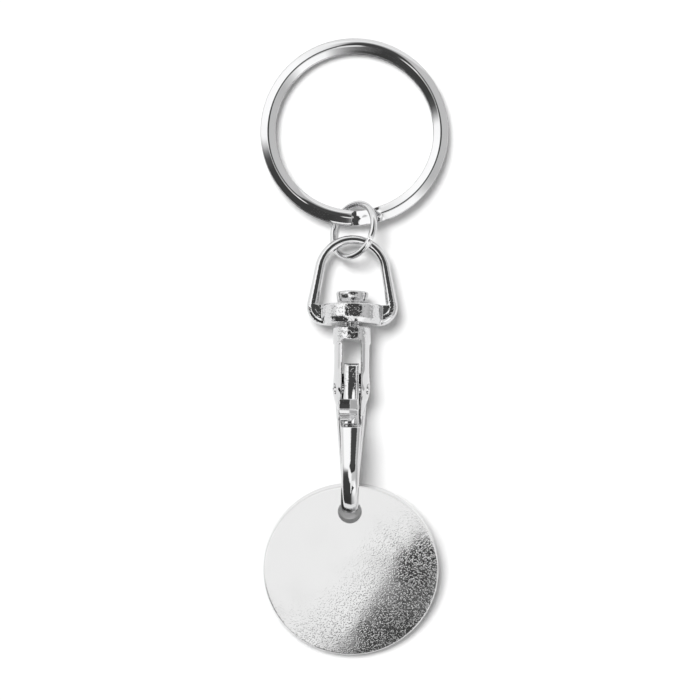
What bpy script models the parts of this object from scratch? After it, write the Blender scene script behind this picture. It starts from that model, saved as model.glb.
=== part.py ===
"""Coin holder keyring: a split ring, a round link, a swivel snap hook with a sprung thumb gate,
and a blank token that hangs on the hook by a hole near its rim.

The keyring lies on a flat surface, as when it is laid down: +Y runs from the token to the split
ring, +Z is up, and the origin is under the middle of the whole keyring. The hook stands edge on
with its gate up. It leans on the swivel's boss, and on the token, whose far rim touches down.

Inside the swivel's own frame +Y is the swivel axis towards the bow, and +Z, called depth here,
points from the hook's spine to its gate. Its origin is the middle of the boss's lower face.
"""

import math

import bmesh
import bpy
from mathutils import Matrix, Vector

MM = 0.001

# General clearances
FIT_GAP = 0.1 * MM
SEAT_GAP = 0.2 * MM
OVERRUN = 2.0 * MM

# Split ring: one flattened wire in two turns
RING_OUTER_DIAMETER = 25.0 * MM
RING_WIRE_WIDTH = 2.0 * MM
RING_WIRE_HEIGHT = 0.9 * MM
RING_WIRE_EDGE = 0.3 * MM
RING_COIL_GAP = 0.06 * MM
RING_END_GAP = 0.2 * MM
RING_RAMP_LENGTH = 3.9 * MM
RING_RAMP_START_DEG = -91.0
RING_STEPS_A_TURN = 72

# Where the split ring lies, from the middle of the bow's crest
RING_ROOM = 1.3 * MM
RING_BELOW = 0.7 * MM

# Round link through the split ring and the bow
LINK_SLACK = 1.9 * MM
LINK_WIRE = 0.9 * MM
LINK_CUT = 0.1 * MM
LINK_CUT_DEG = -20.0
LINK_AHEAD_SHARE = 0.44
LINK_ASIDE = 0.05 * MM
LINK_ABOVE = 0.07 * MM
LINK_PITCH_DEG = 15.5
LINK_ROLL_DEG = 45.0

# Bow: the cast loop, and the boss that the rivet passes through
BOSS_DIAMETER = 8.1 * MM
BOSS_HEIGHT = 2.6 * MM
BOSS_EDGE = 0.2 * MM
BOW_HEIGHT = 11.3 * MM
BOW_CREST_RADIUS = 4.4 * MM
BOW_CREST_WIRE = 1.25 * MM
BOW_FOOT_WIRE = 1.69 * MM
BOW_FOOT_RADIUS = 1.75 * MM
BOW_FOOT_SPREAD = 3.5 * MM
BOW_FOOT_RISE = 0.7 * MM
WEB_THICKNESS = 1.45 * MM

# Swivel rivet
STUD_DIAMETER = 2.0 * MM
STUD_DEPTH = 1.25 * MM
SWIVEL_GAP = 0.25 * MM
SWIVEL_PLAY = 0.33 * MM
RIVET_HEAD_DIAMETER = 4.3 * MM
RIVET_HEAD_HEIGHT = 1.45 * MM
RIVET_HEAD_EDGE = 0.35 * MM

# Hook: collar, forked cheeks, spine, bend and nose
COLLAR_DIAMETER = 5.05 * MM
COLLAR_HEIGHT = 2.35 * MM
COLLAR_EDGE = 0.2 * MM
CHEEK_WIDTH = 4.7 * MM
CHEEK_BACK = 3.6 * MM
PIN_BOSS_WIDTH = 5.0 * MM
PIN_BOSS_DIAMETER = 3.4 * MM
SLOT_WIDTH = 2.4 * MM
SLOT_TOP = 2.15 * MM
WEB_TOP = 6.3 * MM
WEB_DEPTH = 1.7 * MM
PIN_DROP = 8.6 * MM
PIN_DEPTH = 1.2 * MM
NOSE_TOP_DROP = 13.6 * MM
NOSE_TOP_DEPTH = 3.3 * MM
BEND_DROP = 20.5 * MM
BEND_RADIUS = 3.75 * MM
BEND_FRONT_REACH = 5.1 * MM
BEND_WIDTH = 2.4 * MM
BEND_THICKNESS = 1.5 * MM
NOSE_WIDTH = 2.9 * MM
NOSE_THICKNESS = 1.4 * MM
NOSE_ROLL_DEG = 8.0
SPINE_WIDTH = 4.4 * MM
SPINE_THICKNESS = 1.9 * MM
SPINE_TOP_DROP = 9.0 * MM
SPINE_TOP_DEPTH = 2.5 * MM
SPINE_BULGE = 0.4 * MM
CHEEK_FOOT_DROP = 12.9 * MM

# Gate, its pin and its spring
GATE_WIDTH = 2.0 * MM
GATE_BARREL_DIAMETER = 3.2 * MM
GATE_TAIL_REACH = 3.3 * MM
GATE_TAIL_THICKNESS = 1.2 * MM
GATE_TONGUE = 0.7 * MM
GATE_TONGUE_THICKNESS = 0.6 * MM
GATE_FRONT_FALL = 0.5 * MM
KNOB_TOP_DROP = 1.55 * MM
KNOB_LENGTH = 2.95 * MM
KNOB_ROOT_DEPTH = 1.2 * MM
KNOB_RISE = 1.9 * MM
KNOB_SIDE_REACH = 1.72 * MM
PIN_DIAMETER = 1.2 * MM
PIN_LENGTH = 4.9 * MM
PIN_DIMPLE = 0.2 * MM
SPRING_WIRE = 0.25 * MM
SPRING_DIAMETER = 1.8 * MM
SPRING_PITCH = 0.32 * MM
SPRING_LEG = 2.2 * MM
SPRING_TURNS = 2.25
SPRING_SLOT = 1.1 * MM

# Token
TOKEN_DIAMETER = 23.25 * MM
TOKEN_THICKNESS = 2.0 * MM
TOKEN_EDGE = 0.3 * MM
TOKEN_HOLE_DIAMETER = 3.1 * MM
TOKEN_HOLE_EDGE = 0.15 * MM
TOKEN_HOLE_WALL = 1.975 * MM
TOKEN_HANG = 0.42 * MM
TOKEN_TURN_DEG = 1.1

# How the swivel lies
SWIVEL_TILT_DEG = 5.0
SWIVEL_YAW_DEG = -0.7
SWIVEL_ASIDE = 0.33 * MM

# Roundness of the curved pieces
LARGE_ROUND_STEPS = 96
ROUND_STEPS = 48
SMALL_ROUND_STEPS = 24
WIRE_SIDES = 12
SPRING_SIDES = 6
SPRING_STEPS_A_TURN = 12
FILLET_STEPS = 3

# Section of the cast hook, as shares of its width and thickness: a ridge along the outer side
HOOK_SECTION_SHARES = (
    (0.09, 0.5), (0.32, 0.38), (0.44, 0.2), (0.5, -0.06), (0.42, -0.32), (0.22, -0.47),
    (-0.22, -0.47), (-0.42, -0.32), (-0.5, -0.06), (-0.44, 0.2), (-0.32, 0.38),
)

# Forked cheeks: how square their rounded sections are, and their foot as a share of the spine
CHEEK_SQUARENESS = 2.6
CHEEK_FOOT_SHARE = 0.75

# Gate: how far its front falls away towards each side, as (side, fall) shares
GATE_ROUND_SHARES = ((1.0, 0.9), (0.93, 0.6), (0.8, 0.38), (0.55, 0.16), (0.25, 0.03))

# Knob from the side: a step, a flat for the thumb and three ridges, as (length, rise) shares
KNOB_SIDE_SHARES = (
    (0.0, 0.5), (0.02, 0.75), (0.07, 0.83), (0.45, 0.83), (0.52, 0.93), (0.57, 1.0), (0.62, 0.97),
    (0.66, 0.88), (0.72, 0.93), (0.78, 0.86), (0.82, 0.75), (0.88, 0.74), (0.94, 0.6), (1.0, 0.5),
)

# Knob from its overhanging left side to its right foot, as (side, root, lift) shares
KNOB_ACROSS_SHARES = (
    (-1.0, 0.46, 0.88), (-0.93, 0.4, 0.98), (-0.84, 0.37, 1.0), (-0.61, 0.37, 1.0),
    (-0.52, 0.0, 1.0), (-0.12, 0.0, 1.0), (-0.03, 0.0, 0.96), (0.49, 0.0, 0.5),
)


# Places worked out from the sizes above
token_hole_offset = (TOKEN_DIAMETER - TOKEN_HOLE_DIAMETER) / 2 - TOKEN_HOLE_WALL
ring_mid_radius = (RING_OUTER_DIAMETER - RING_WIRE_WIDTH) / 2
ring_pitch = RING_WIRE_HEIGHT + RING_COIL_GAP
swivel_tilt = math.radians(SWIVEL_TILT_DEG)
swivel_height = BOSS_DIAMETER / 2 * math.cos(swivel_tilt) + BOSS_HEIGHT * math.sin(swivel_tilt)


def hung_point(token_tilt):
    """The token's hole on the bend, in the swivel's upright plane, as (along Y, height)."""
    around = token_tilt + swivel_tilt
    hang = BEND_RADIUS + TOKEN_HANG
    drop = BEND_DROP + hang * math.cos(around)
    depth = -hang * math.sin(around)
    along = -drop * math.cos(swivel_tilt) + depth * math.sin(swivel_tilt)
    height = swivel_height + drop * math.sin(swivel_tilt) + depth * math.cos(swivel_tilt)
    return along, height


def rim_reach(lengthwise, upright):
    """How far the token's rounded rim reaches from its hole, along a direction in its upright plane."""
    flat_reach = token_hole_offset + TOKEN_DIAMETER / 2 - TOKEN_EDGE
    flat_height = TOKEN_THICKNESS / 2 - TOKEN_EDGE
    return flat_reach * lengthwise + flat_height * upright + TOKEN_EDGE


def rim_height(token_tilt):
    """How high the token's far rim would be, with its hole square to the bend's wire."""
    return hung_point(token_tilt)[1] - rim_reach(math.sin(token_tilt), math.cos(token_tilt))


def resting_tilt():
    """The token's tilt at which its far rim touches the floor, found by halving."""
    least, most = 0.0, math.radians(60)
    for _ in range(40):
        middle = (least + most) / 2
        if rim_height(middle) > 0:
            least = middle
        else:
            most = middle
    return least


token_tilt = resting_tilt()
token_along, token_height = hung_point(token_tilt)
crest_along = BOW_HEIGHT * math.cos(swivel_tilt)
crest_height = swivel_height - BOW_HEIGHT * math.sin(swivel_tilt)
ring_half_height = (RING_WIRE_HEIGHT + ring_pitch) / 2
ring_near_height = crest_height - RING_BELOW
ring_tilt = math.asin((ring_near_height - ring_half_height) / (2 * ring_mid_radius))
ring_ahead = BOW_CREST_WIRE / 2 + RING_ROOM + RING_WIRE_WIDTH / 2
ring_middle = crest_along + ring_ahead + ring_mid_radius * math.cos(ring_tilt)
ring_end = ring_middle + RING_OUTER_DIAMETER / 2 * math.cos(ring_tilt)
token_end = token_along - rim_reach(math.cos(token_tilt), math.sin(token_tilt))
swivel_along = -(ring_end + token_end) / 2


def metal(name, colour, roughness):
    """A plain metal for one piece."""
    material = bpy.data.materials.new(name)
    material.use_nodes = True
    shader = material.node_tree.nodes["Principled BSDF"]
    shader.inputs["Base Color"].default_value = (*colour, 1.0)
    shader.inputs["Roughness"].default_value = roughness
    shader.inputs["Metallic"].default_value = 1.0
    return material


def empty(name, matrix):
    """An empty that carries the pieces of one joint."""
    holder = bpy.data.objects.new(name, None)
    holder.empty_display_size = BOSS_DIAMETER
    holder.matrix_world = matrix
    bpy.context.collection.objects.link(holder)
    return holder


def solid(name, shape, material=None, parent=None, place=None):
    """An object from points and faces, shaded smooth across its shallow edges."""
    points, faces = shape
    mesh = bpy.data.meshes.new(name)
    mesh.from_pydata(points, [], faces)
    work = bmesh.new()
    work.from_mesh(mesh)
    bmesh.ops.recalc_face_normals(work, faces=work.faces)
    work.to_mesh(mesh)
    work.free()
    mesh.shade_smooth()
    mesh.set_sharp_from_angle(angle=math.radians(35))
    flat_borders = {key for face in mesh.polygons if len(face.vertices) > 4 for key in face.edge_keys}
    for edge in mesh.edges:
        edge.use_edge_sharp = edge.use_edge_sharp or edge.key in flat_borders
    if material:
        mesh.materials.append(material)
    piece = bpy.data.objects.new(name, mesh)
    bpy.context.collection.objects.link(piece)
    piece.parent = parent
    piece.matrix_basis = place or Matrix.Identity(4)
    return piece


def helper(name, shape, parent=None, place=None):
    """A shape that is only joined to, or cut from, another piece."""
    piece = solid(name, shape, None, parent, place)
    piece.hide_render = True
    piece.display_type = "WIRE"
    return piece


def combine(piece, other, operation):
    """A Boolean on a piece with one other shape."""
    modifier = piece.modifiers.new(f"{operation.lower()} {other.name}", "BOOLEAN")
    modifier.operation = operation
    modifier.solver = "EXACT"
    modifier.object = other


def even_shading(piece):
    """Lets the large faces set the shading, so that they look flat."""
    modifier = piece.modifiers.new("even shading", "WEIGHTED_NORMAL")
    modifier.keep_sharp = True


def loft(rings, closed=False):
    """Faces between rings of points, with a cap on each end unless the loft meets itself."""
    count = len(rings[0])
    points = [point for ring in rings for point in ring]
    faces = []
    for i in range(len(rings) if closed else len(rings) - 1):
        here = i * count
        there = (i + 1) % len(rings) * count
        for j in range(count):
            k = (j + 1) % count
            faces.append((here + j, here + k, there + k, there + j))
    if not closed:
        faces.append(tuple(reversed(range(count))))
        faces.append(tuple(range(len(points) - count, len(points))))
    return points, faces


def turned(profile, steps, turn=None):
    """A solid turned about Y from (radius, along) pairs, then turned by a matrix."""
    turn = turn or Matrix.Identity(3)
    rings = []
    for radius, along in profile:
        ring = []
        for i in range(steps):
            angle = math.tau * i / steps
            ring.append(turn @ Vector((radius * math.cos(angle), along, radius * math.sin(angle))))
        rings.append(ring)
    return loft(rings)


def extruded(outline, width):
    """An outline of (along, depth) pairs in the swivel's upright plane, given a width along X."""
    return loft([[Vector((x, y, z)) for y, z in outline] for x in (-width / 2, width / 2)])


def swept(path, section):
    """A section of shares swept along (middle, across, outwards, width, thickness) places."""
    rings = []
    for middle, across, outwards, width, thickness in path:
        rings.append([middle + across * u * width + outwards * v * thickness for u, v in section])
    return rings


def round_section(sides):
    """A circle of diameter one."""
    angles = [math.tau * i / sides for i in range(sides)]
    return [(math.cos(angle) / 2, math.sin(angle) / 2) for angle in angles]


def rounded_profile(radius, low, high, edge):
    """The (radius, along) pairs of a disc with rounded rims."""
    profile = []
    for i in range(FILLET_STEPS + 1):
        angle = math.pi / 2 * i / FILLET_STEPS
        profile.append((radius - edge + edge * math.sin(angle), low + edge - edge * math.cos(angle)))
    for i in range(FILLET_STEPS + 1):
        angle = math.pi / 2 * i / FILLET_STEPS
        profile.append((radius - edge + edge * math.cos(angle), high - edge + edge * math.sin(angle)))
    return profile


def arc(middle, radius, start, end, steps):
    """Points of an arc from start to end, in degrees, as (first, second) pairs."""
    points = []
    for i in range(steps + 1):
        angle = math.radians(start + (end - start) * i / steps)
        points.append((middle[0] + radius * math.cos(angle), middle[1] + radius * math.sin(angle)))
    return points


def curve(start, pull, end, steps):
    """Points after the start of a curve that leaves it towards a pull and arrives from there."""
    points = []
    for i in range(1, steps + 1):
        t = i / steps
        terms = zip(start, pull, end)
        points.append(tuple((1 - t) ** 2 * a + 2 * t * (1 - t) * b + t * t * c for a, b, c in terms))
    return points


def smooth_share(share):
    """Eases from 0 to 1 with level ends."""
    share = min(max(share, 0.0), 1.0)
    return share * share * (3 - 2 * share)


def make_split_ring(material, crest):
    """One flattened wire in two turns, which climbs from the lower turn to the upper in a ramp."""
    ramp = math.degrees(RING_RAMP_LENGTH / ring_mid_radius)
    end_gap = math.degrees(RING_END_GAP / ring_mid_radius)
    ramp_start = RING_RAMP_START_DEG + 360
    first = RING_RAMP_START_DEG + ramp + end_gap
    last = ramp_start + 360 - end_gap
    steps = round((last - first) / 360 * RING_STEPS_A_TURN)
    middle = Vector((0, ring_mid_radius, 0))
    up = Vector((0, 0, 1))
    path = []
    for i in range(steps + 1):
        angle = first + (last - first) * i / steps
        climb = smooth_share((angle - ramp_start) / ramp) - 1 / 2
        outwards = Vector((math.cos(math.radians(angle)), math.sin(math.radians(angle)), 0))
        place = middle + outwards * ring_mid_radius + up * climb * ring_pitch
        path.append((place, outwards, up, RING_WIRE_WIDTH, RING_WIRE_HEIGHT))
    edge = RING_WIRE_EDGE / RING_WIRE_HEIGHT / 2
    section = [(0.0, 0.5), (-0.5, edge), (-0.5, -edge), (0.0, -0.5), (0.5, -edge), (0.5, edge)]
    spot = Vector((0, crest.y + ring_ahead, ring_near_height))
    place = Matrix.Translation(spot) @ Matrix.Rotation(-ring_tilt, 4, "X")
    solid("split_ring", loft(swept(path, section)), material, None, place)


def make_link(material, crest):
    """A round wire link with its cut, on the bow's crest."""
    radius = (BOW_CREST_WIRE + RING_ROOM + RING_WIRE_WIDTH + LINK_SLACK + LINK_WIRE) / 2
    cut = math.degrees(LINK_CUT / radius)
    first = LINK_CUT_DEG + cut / 2
    last = LINK_CUT_DEG + 360 - cut / 2
    lean = Matrix.Rotation(math.radians(-LINK_ROLL_DEG), 3, "Y")
    lean = lean @ Matrix.Rotation(math.radians(-LINK_PITCH_DEG), 3, "X")
    middle = Vector((LINK_ASIDE, ring_ahead * LINK_AHEAD_SHARE, LINK_ABOVE))
    path = []
    for i in range(ROUND_STEPS + 1):
        angle = math.radians(first + (last - first) * i / ROUND_STEPS)
        outwards = lean @ Vector((math.cos(angle), math.sin(angle), 0))
        square = lean @ Vector((0, 0, 1))
        path.append((middle + outwards * radius, outwards, square, LINK_WIRE, LINK_WIRE))
    shape = loft(swept(path, round_section(WIRE_SIDES)))
    solid("link_ring", shape, material, None, Matrix.Translation(crest))


def bow_outline():
    """The loop's middle line from its left foot to its right, as (across, along) pairs."""
    foot = (-BOW_FOOT_SPREAD, BOW_FOOT_RISE + BOW_FOOT_RADIUS)
    crest = (0, BOW_HEIGHT - BOW_CREST_RADIUS)
    across, along = crest[0] - foot[0], crest[1] - foot[1]
    lean = math.atan2(across, along)
    lean -= math.asin((BOW_CREST_RADIUS - BOW_FOOT_RADIUS) / math.hypot(across, along))
    side = 180 - math.degrees(lean)
    left = [(-BOSS_DIAMETER / 3, BOW_FOOT_RISE)]
    left += arc(foot, BOW_FOOT_RADIUS, 270, side, 8)
    left += arc(crest, BOW_CREST_RADIUS, side, 90, 10)
    return left + [(-across, along) for across, along in reversed(left[:-1])]


def make_bow(material, swivel):
    """The cast loop with the boss, and a web in each of its lower corners."""
    outline = bow_outline()
    path = []
    for i, (across, along) in enumerate(outline):
        before, after = outline[max(i - 1, 0)], outline[min(i + 1, len(outline) - 1)]
        run = Vector((after[0] - before[0], after[1] - before[1], 0)).normalized()
        share = (BOW_HEIGHT - along) / (BOW_HEIGHT - BOW_FOOT_RISE)
        wire = BOW_CREST_WIRE + (BOW_FOOT_WIRE - BOW_CREST_WIRE) * share**2
        outwards = Vector((-run.y, run.x, 0))
        path.append((Vector((across, along, 0)), outwards, Vector((0, 0, 1)), wire, wire))
    bow = solid("swivel_bow", loft(swept(path, round_section(WIRE_SIDES))), material, swivel)
    boss_radius = BOSS_DIAMETER / 2
    profile = rounded_profile(boss_radius, 0, BOSS_HEIGHT, BOSS_EDGE)
    combine(bow, helper("boss", turned(profile, ROUND_STEPS), swivel), "UNION")
    foot_side = BOW_FOOT_SPREAD + BOW_FOOT_RADIUS
    corners = (
        (-foot_side, BOSS_HEIGHT), (-boss_radius, BOSS_HEIGHT), (boss_radius, BOSS_HEIGHT),
        (foot_side, BOSS_HEIGHT), (BOW_FOOT_SPREAD + BOW_FOOT_WIRE / 2, BOW_FOOT_RISE),
        (-BOW_FOOT_SPREAD - BOW_FOOT_WIRE / 2, BOW_FOOT_RISE),
    )
    faces = [[Vector((x, y, z)) for x, y in corners] for z in (-WEB_THICKNESS / 2, WEB_THICKNESS / 2)]
    combine(bow, helper("corner webs", loft(faces), swivel), "UNION")
    bore = STUD_DIAMETER / 2 + SWIVEL_GAP
    cut = turned(((bore, -OVERRUN), (bore, BOSS_HEIGHT + OVERRUN)), ROUND_STEPS)
    combine(bow, helper("boss bore", cut, swivel), "DIFFERENCE")
    even_shading(bow)


def make_rivet(material, swivel):
    """The headed stud, fast in the collar, that the bow turns on."""
    stud = STUD_DIAMETER / 2
    head = RIVET_HEAD_DIAMETER / 2
    head_low = BOSS_HEIGHT + SWIVEL_PLAY
    head_high = head_low + RIVET_HEAD_HEIGHT
    profile = [(stud, -SWIVEL_PLAY - STUD_DEPTH), (stud, head_low)]
    profile += rounded_profile(head, head_low, head_high, RIVET_HEAD_EDGE)[1:]
    even_shading(solid("swivel_rivet", turned(profile, ROUND_STEPS), material, swivel))


def hook_path():
    """The cast bar from inside the cheeks, down the spine, round the bend and up the nose."""
    across = Vector((1, 0, 0))
    places = []
    start = Vector((0, -SPINE_TOP_DROP, -SPINE_TOP_DEPTH))
    bend = Vector((0, -BEND_DROP, 0))
    low = bend + Vector((0, 0, -BEND_RADIUS))
    third = (BEND_DROP - SPINE_TOP_DROP) / 3
    bulge = start.z + (low.z - start.z) / 3 - SPINE_BULGE
    pulls = (start, Vector((0, start.y - third, bulge)), low + Vector((0, third, 0)), low)
    for i in range(8):
        t = i / 8
        blend = ((1 - t) ** 3, 3 * t * (1 - t) ** 2, 3 * t * t * (1 - t), t**3)
        slope = (-3 * (1 - t) ** 2, 3 * (1 - t) * (1 - 3 * t), 3 * t * (2 - 3 * t), 3 * t * t)
        middle = sum((pull * share for pull, share in zip(pulls, blend)), Vector())
        run = sum((pull * share for pull, share in zip(pulls, slope)), Vector()).normalized()
        width = SPINE_WIDTH + (BEND_WIDTH - SPINE_WIDTH) * t
        thickness = SPINE_THICKNESS + (BEND_THICKNESS - SPINE_THICKNESS) * smooth_share(t)
        places.append((middle, across, Vector((0, run.z, -run.y)) * -1, width, thickness))
    nose_top = Vector((0, -NOSE_TOP_DROP, NOSE_TOP_DEPTH))
    tip_drop = BEND_DROP + BEND_RADIUS
    front_drop = tip_drop - BEND_FRONT_REACH
    nose_slope = (BEND_RADIUS - NOSE_TOP_DEPTH) / (front_drop - NOSE_TOP_DROP)
    sweep_end = math.pi + math.atan(nose_slope * BEND_FRONT_REACH / BEND_RADIUS)
    for i in range(15):
        angle = sweep_end * i / 14
        reach = BEND_RADIUS if angle < math.pi / 2 else BEND_FRONT_REACH
        along = reach - tip_drop - reach * math.sin(angle)
        middle = Vector((0, along, -BEND_RADIUS * math.cos(angle)))
        outwards = Vector((0, -math.sin(angle) / reach, -math.cos(angle) / BEND_RADIUS)).normalized()
        roll = math.radians(NOSE_ROLL_DEG) * smooth_share(angle * 2 / math.pi - 1)
        side = across * math.cos(roll) + outwards * math.sin(roll)
        out = outwards * math.cos(roll) - across * math.sin(roll)
        places.append((middle, side, out, BEND_WIDTH, BEND_THICKNESS))
    nose_foot, side, out = places[-1][:3]
    for i in range(1, 5):
        share = i / 4
        width = BEND_WIDTH + (NOSE_WIDTH - BEND_WIDTH) * share
        thickness = BEND_THICKNESS + (NOSE_THICKNESS - BEND_THICKNESS) * share
        places.append((nose_foot.lerp(nose_top, share), side, out, width, thickness))
    return places


def cheek_sections():
    """Rounded sections of the forked cheeks, from inside the collar down into the spine."""
    foot = (CHEEK_FOOT_DROP - SPINE_TOP_DROP) / (BEND_DROP - SPINE_TOP_DROP)
    foot_width = (SPINE_WIDTH + (BEND_WIDTH - SPINE_WIDTH) * foot) * CHEEK_FOOT_SHARE
    foot_back = SPINE_TOP_DEPTH + SPINE_THICKNESS / 2
    neck = CHEEK_WIDTH / 2
    top = SWIVEL_PLAY + COLLAR_HEIGHT / 2
    rings = []
    for i in range(FILLET_STEPS * 5 + 1):
        drop = top + (CHEEK_FOOT_DROP - top) * i / FILLET_STEPS / 5
        to_pin = smooth_share((drop - WEB_TOP + BOSS_EDGE) / (PIN_DROP - WEB_TOP + BOSS_EDGE))
        to_foot = smooth_share((drop - PIN_DROP) / (CHEEK_FOOT_DROP - PIN_DROP))
        half = (CHEEK_WIDTH + (PIN_BOSS_WIDTH - CHEEK_WIDTH) * to_pin) / 2
        front = neck + (PIN_DEPTH + PIN_BOSS_DIAMETER / 2 - neck) * to_pin
        back = neck + (CHEEK_BACK - neck) * to_pin
        half += (foot_width / 2 - half) * to_foot
        front += (-SPINE_TOP_DEPTH - front) * to_foot
        back += (foot_back - back) * to_foot
        if abs(drop - PIN_DROP) < PIN_DIAMETER:
            front = max(front, PIN_DEPTH + math.sqrt(PIN_DIAMETER**2 - (drop - PIN_DROP) ** 2))
        middle, deep = (front - back) / 2, (front + back) / 2
        ring = []
        for j in range(SMALL_ROUND_STEPS):
            angle = math.tau * (j + 1 / 2) / SMALL_ROUND_STEPS
            side, rise = math.cos(angle), math.sin(angle)
            side = math.copysign(abs(side) ** (2 / CHEEK_SQUARENESS), side)
            rise = math.copysign(abs(rise) ** (2 / CHEEK_SQUARENESS), rise)
            ring.append(Vector((side * half, -drop, middle + rise * deep)))
        rings.append(ring)
    return rings


def make_hook(material, swivel):
    """Collar, cheeks, spine, bend and nose as one casting, slotted for the gate."""
    hook = solid("hook_body", loft(swept(hook_path(), HOOK_SECTION_SHARES)), material, swivel)
    combine(hook, helper("cheeks", loft(cheek_sections()), swivel), "UNION")
    top = -SWIVEL_PLAY
    profile = rounded_profile(COLLAR_DIAMETER / 2, top - COLLAR_HEIGHT, top, COLLAR_EDGE)
    combine(hook, helper("collar", turned(profile, ROUND_STEPS), swivel), "UNION")
    clear = COLLAR_DIAMETER
    low = -CHEEK_FOOT_DROP - SPINE_THICKNESS / 2
    slot = (
        (-SLOT_TOP, clear), (low, clear), (low, -SPINE_TOP_DEPTH + SPINE_THICKNESS / 4),
        (-PIN_DROP, -WEB_DEPTH), (-WEB_TOP, -WEB_DEPTH), (-WEB_TOP, -clear), (-SLOT_TOP, -clear),
    )
    combine(hook, helper("gate slot", extruded(slot, SLOT_WIDTH), swivel), "DIFFERENCE")
    bore = STUD_DIAMETER / 2 + FIT_GAP
    bore_low = -SWIVEL_PLAY - STUD_DEPTH - FIT_GAP
    cut = turned(((bore, bore_low), (bore, OVERRUN)), ROUND_STEPS)
    combine(hook, helper("stud bore", cut, swivel), "DIFFERENCE")
    bore = PIN_DIAMETER / 2 + FIT_GAP
    cut = turned(((bore, -PIN_LENGTH), (bore, PIN_LENGTH)), SMALL_ROUND_STEPS, along_x())
    place = Matrix.Translation((0, -PIN_DROP, PIN_DEPTH))
    combine(hook, helper("pin bore", cut, swivel, place), "DIFFERENCE")
    even_shading(hook)


def along_x():
    """Turns what was made along Y to lie along X."""
    return Matrix.Rotation(math.radians(-90), 3, "Z")


def make_pin(material, swivel):
    """The gate's pin, with a dimple punched in each end."""
    radius = PIN_DIAMETER / 2
    half = PIN_LENGTH / 2
    end = [(radius / 3, half - PIN_DIMPLE), (radius * 2 / 3, half), (radius, half - PIN_DIMPLE)]
    profile = [(radius, -along) for radius, along in end] + list(reversed(end))
    place = Matrix.Translation((0, -PIN_DROP, PIN_DEPTH))
    solid("gate_pin", turned(profile, SMALL_ROUND_STEPS, along_x()), material, swivel, place)


def gate_side():
    """The gate from the side, as (along, depth) pairs from the pin's middle."""
    barrel = GATE_BARREL_DIAMETER / 2
    tail = GATE_TAIL_THICKNESS / 2
    tip = -(NOSE_TOP_DROP - PIN_DROP) + SEAT_GAP
    tongue = -(NOSE_TOP_DROP - PIN_DROP) - GATE_TONGUE
    nose_front = NOSE_TOP_DEPTH + NOSE_THICKNESS / 4 - PIN_DEPTH
    nose_back = NOSE_TOP_DEPTH - NOSE_THICKNESS / 2 - PIN_DEPTH
    tongue_front = nose_back - SEAT_GAP
    outline = [(tip, nose_front)]
    for i in range(5):
        angle = math.radians(-30 + 50 * i / 4)
        outline.append((barrel * math.sin(angle), barrel * math.cos(angle)))
    tail_middle = (GATE_TAIL_REACH - tail, barrel - tail * 1.5)
    for i in range(9):
        angle = math.radians(180 * i / 8)
        outline.append(
            (tail_middle[0] + tail * math.sin(angle), tail_middle[1] + tail * math.cos(angle))
        )
    for i in range(7):
        angle = math.radians(150 + 100 * i / 6)
        outline.append((barrel * math.sin(angle), barrel * math.cos(angle)))
    outline += [
        (tongue + GATE_TONGUE_THICKNESS / 2, tongue_front - GATE_TONGUE_THICKNESS),
        (tongue, tongue_front - GATE_TONGUE_THICKNESS / 2), (tongue, tongue_front), (tip, tongue_front),
    ]
    return outline


def rounded_gate(outline):
    """The gate's outline given a width, its front falling away in a curve towards each side."""
    falls = []
    for i in range(len(outline)):
        before, after = outline[i - 1], outline[(i + 1) % len(outline)]
        run = Vector((after[0] - before[0], after[1] - before[1])).normalized()
        falls.append(max(0.0, run.x))
    sides = [(-side, fall) for side, fall in GATE_ROUND_SHARES]
    sides += [(side, fall) for side, fall in reversed(GATE_ROUND_SHARES)]
    rings = []
    for side, fall in sides:
        drop = GATE_FRONT_FALL * fall
        ring = []
        for (along, depth), share in zip(outline, falls):
            ring.append(Vector((side * GATE_WIDTH / 2, along, depth - drop * share)))
        rings.append(ring)
    return loft(rings)


def knob_shape():
    """The thumb knob: it overhangs the gate's left side and slopes down to its right."""
    rings = []
    for side, root, lift in KNOB_ACROSS_SHARES:
        ring = []
        for length, rise in KNOB_SIDE_SHARES:
            along = -KNOB_TOP_DROP - KNOB_LENGTH * length
            depth = KNOB_ROOT_DEPTH + KNOB_RISE * rise * lift
            ring.append(Vector((side * KNOB_SIDE_REACH, along, depth)))
        for length in (KNOB_SIDE_SHARES[-1][0], KNOB_SIDE_SHARES[0][0]):
            along = -KNOB_TOP_DROP - KNOB_LENGTH * length
            ring.append(Vector((side * KNOB_SIDE_REACH, along, KNOB_ROOT_DEPTH + KNOB_RISE * root)))
        rings.append(ring)
    return loft(rings)


def make_gate(material, swivel):
    """The lever on the pin, hollowed from behind for its spring, with the thumb knob."""
    place = Matrix.Translation((0, -PIN_DROP, PIN_DEPTH))
    gate = solid("gate_lever", rounded_gate(gate_side()), material, swivel, place)
    combine(gate, helper("thumb knob", knob_shape(), swivel, place), "UNION")
    room = (SPRING_DIAMETER + SPRING_WIRE) / 2 + FIT_GAP
    pocket = [(room, -GATE_BARREL_DIAMETER)] + arc((0, 0), room, 0, 90, 6)
    pocket += [(-SPRING_LEG - FIT_GAP, room), (-SPRING_LEG - FIT_GAP, -GATE_BARREL_DIAMETER)]
    combine(gate, helper("spring pocket", extruded(pocket, SPRING_SLOT), swivel, place), "DIFFERENCE")
    bore = PIN_DIAMETER / 2 + FIT_GAP
    cut = turned(((bore, -PIN_LENGTH), (bore, PIN_LENGTH)), SMALL_ROUND_STEPS, along_x())
    combine(gate, helper("gate bore", cut, swivel, place), "DIFFERENCE")
    even_shading(gate)


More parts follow.
